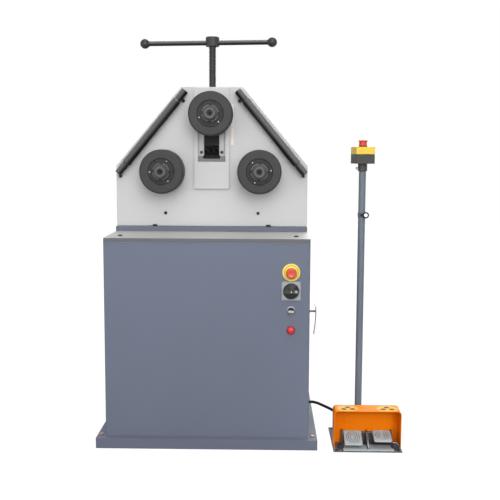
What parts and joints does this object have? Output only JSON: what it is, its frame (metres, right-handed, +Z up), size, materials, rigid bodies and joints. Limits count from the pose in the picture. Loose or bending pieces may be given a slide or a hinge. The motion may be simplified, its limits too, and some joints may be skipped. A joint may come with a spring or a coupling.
{
  "type": "ring roller",
  "caption": "Floor-standing ring roller with a hand-screwed top roll, geared lower rolls, side support bars, a control cabinet and a pedal stand with a stop box.",
  "frame": {"origin": "centre of the plinth's underside, on the floor", "axes": "+Z up; +Y to the back of the machine, so the rolls and the controls face -Y; +X to the right as seen by the operator, where the pedal stand is"},
  "size_m": [1.048, 0.634, 1.428],
  "materials": {
    "blue_paint": "blue-grey textured powder coat",
    "plinth_paint": "darker blue-grey textured powder coat",
    "pole_paint": "blue-grey gloss paint",
    "head_paint": "light grey satin paint",
    "orange_paint": "orange gloss paint",
    "table_steel": "brushed flat steel, oiled",
    "ground_steel": "turned and ground steel",
    "dark_steel": "hardened turned steel, dark",
    "black_steel": "black oxide",
    "chrome_plate": "polished chrome plate",
    "bronze": "machined bronze",
    "cast_iron": "cast and machined, grey",
    "cast_aluminium": "die cast, matt grey",
    "black_plastic": "moulded, satin black",
    "grey_plastic": "moulded, silver grey",
    "yellow_plastic": "moulded, yellow",
    "red_plastic": "moulded, red",
    "cream_strip": "printed scale, cream with dark marks",
    "black_rubber": "black cable jacket"
  },
  "bodies": {
    "root": {"plinth": "plinth_paint", "cabinet_shell": "blue_paint", "door_hinge_pin": "ground_steel", "table_plate": "table_steel", "head_base_flange": "blue_paint", "head_housing": "head_paint", "head_rear_cover": "head_paint", "slide_guide_plate": "head_paint", "left_gib_strip": "head_paint", "right_gib_strip": "head_paint", "screw_nut": "bronze", "left_bearing": "cast_iron", "right_bearing": "cast_iron", "bearing_plate": "cast_iron", "gearbox": "cast_aluminium", "drive_motor": "cast_iron", "left_bar_spindle": "black_steel", "right_bar_spindle": "black_steel", "scale_strip": "cream_strip", "stop_switch_body": "yellow_plastic", "main_switch_plate": "grey_plastic", "selector_body": "chrome_plate", "pilot_lamp": "red_plastic", "cabinet_gland": "black_plastic", "pedal_cable": "black_rubber", "pedal_gland": "black_plastic", "stand_floor_plate": "cast_iron", "pedal_hood": "orange_paint", "pedal_frame": "cast_aluminium", "pedal_pin": "ground_steel", "stand_pole": "pole_paint", "pole_clip": "black_steel", "box_base": "black_plastic", "box_cover": "yellow_plastic"},
    "slide": {"slide_block": "black_steel"},
    "screw": {"leadscrew": "dark_steel", "handle_hub": "black_steel"},
    "crossbar": {"crossbar": "black_steel"},
    "upper_roll": {"upper_roll_shaft": "ground_steel", "upper_roll": "dark_steel", "upper_roll_nut": "dark_steel"},
    "left_roll": {"left_roll_shaft": "ground_steel", "left_roll": "dark_steel", "left_roll_nut": "dark_steel", "left_gear": "dark_steel"},
    "right_roll": {"right_roll_shaft": "ground_steel", "right_roll": "dark_steel", "right_roll_nut": "dark_steel", "right_gear": "dark_steel"},
    "pinion": {"drive_pinion": "dark_steel"},
    "left_sleeve": {"left_bar_sleeve": "black_steel"},
    "right_sleeve": {"right_bar_sleeve": "black_steel"},
    "door": {"service_door": "blue_paint"},
    "door_lever": {"door_lever": "chrome_plate"},
    "stop_button": {"stop_button": "red_plastic"},
    "main_switch": {"main_switch_knob": "black_plastic"},
    "selector": {"selector_knob": "black_plastic"},
    "left_pedal": {"left_pedal": "cast_aluminium"},
    "right_pedal": {"right_pedal": "cast_aluminium"},
    "box_button": {"box_stop_button": "red_plastic"}
  },
  "joints": [
    {"name": "slide_travel", "type": "slide", "parent": "root", "child": "slide", "axis": [0, 0, -1], "range_m": [0, 0.1]},
    {"name": "screw_turn", "type": "hinge", "parent": "slide", "child": "screw", "pos_m": [0, 0.052, 1.2], "axis": [0, 0, -1], "range_deg": [0, 7200]},
    {"name": "crossbar_slide", "type": "slide", "parent": "screw", "child": "crossbar", "axis": [0.9925, -0.1219, 0], "range_m": [-0.175, 0.209]},
    {"name": "upper_roll_spin", "type": "hinge", "parent": "slide", "child": "upper_roll", "pos_m": [0, 0, 1.1465], "axis": [0, 1, 0], "continuous": true},
    {"name": "left_roll_spin", "type": "hinge", "parent": "root", "child": "left_roll", "pos_m": [-0.175, 0, 0.941], "axis": [0, 1, 0], "continuous": true},
    {"name": "right_roll_spin", "type": "hinge", "parent": "root", "child": "right_roll", "pos_m": [0.175, 0, 0.941], "axis": [0, 1, 0], "continuous": true},
    {"name": "pinion_spin", "type": "hinge", "parent": "root", "child": "pinion", "pos_m": [0, 0, 0.941], "axis": [0, 1, 0], "continuous": true},
    {"name": "left_sleeve_spin", "type": "hinge", "parent": "root", "child": "left_sleeve", "pos_m": [-0.21704, -0.02, 1.0822], "axis": [0.6363, 0, 0.7715], "continuous": true},
    {"name": "right_sleeve_spin", "type": "hinge", "parent": "root", "child": "right_sleeve", "pos_m": [0.21704, -0.02, 1.0822], "axis": [-0.6363, 0, 0.7715], "continuous": true},
    {"name": "door_swing", "type": "hinge", "parent": "root", "child": "door", "pos_m": [0.356, -0.02, 0.39], "axis": [0, 0, 1], "range_deg": [0, 90]},
    {"name": "door_lever_turn", "type": "hinge", "parent": "door", "child": "door_lever", "pos_m": [0.36, -0.17, 0.457], "axis": [1, 0, 0], "range_deg": [0, 90]},
    {"name": "stop_button_press", "type": "slide", "parent": "root", "child": "stop_button", "axis": [0, 1, 0], "range_m": [0, 0.005], "stiffness_N_per_m": 400, "springref_m": -0.01},
    {"name": "main_switch_turn", "type": "hinge", "parent": "root", "child": "main_switch", "pos_m": [0.286, -0.28, 0.546], "axis": [0, 1, 0], "range_deg": [0, 90]},
    {"name": "selector_turn", "type": "hinge", "parent": "root", "child": "selector", "pos_m": [0.286, -0.28, 0.479], "axis": [0, 1, 0], "range_deg": [0, 90]},
    {"name": "left_pedal_press", "type": "hinge", "parent": "root", "child": "left_pedal", "pos_m": [0.504, -0.238, 0.042], "axis": [1, 0, 0], "range_deg": [0, 3.5], "stiffness_Nm_per_rad": 1, "springref_deg": -17.19},
    {"name": "right_pedal_press", "type": "hinge", "parent": "root", "child": "right_pedal", "pos_m": [0.604, -0.238, 0.042], "axis": [1, 0, 0], "range_deg": [0, 10.5], "stiffness_Nm_per_rad": 1, "springref_deg": -17.19},
    {"name": "box_button_press", "type": "slide", "parent": "root", "child": "box_button", "axis": [0, 0, -1], "range_m": [0, 0.004], "stiffness_N_per_m": 400, "springref_m": -0.01}
  ],
  "couplings": [
    {"joint": "slide_travel", "follows": "screw_turn", "m_per_rad": 0.00079577},
    {"joint": "right_roll_spin", "follows": "left_roll_spin", "ratio": 1},
    {"joint": "pinion_spin", "follows": "left_roll_spin", "ratio": -1.2727}
  ]
}
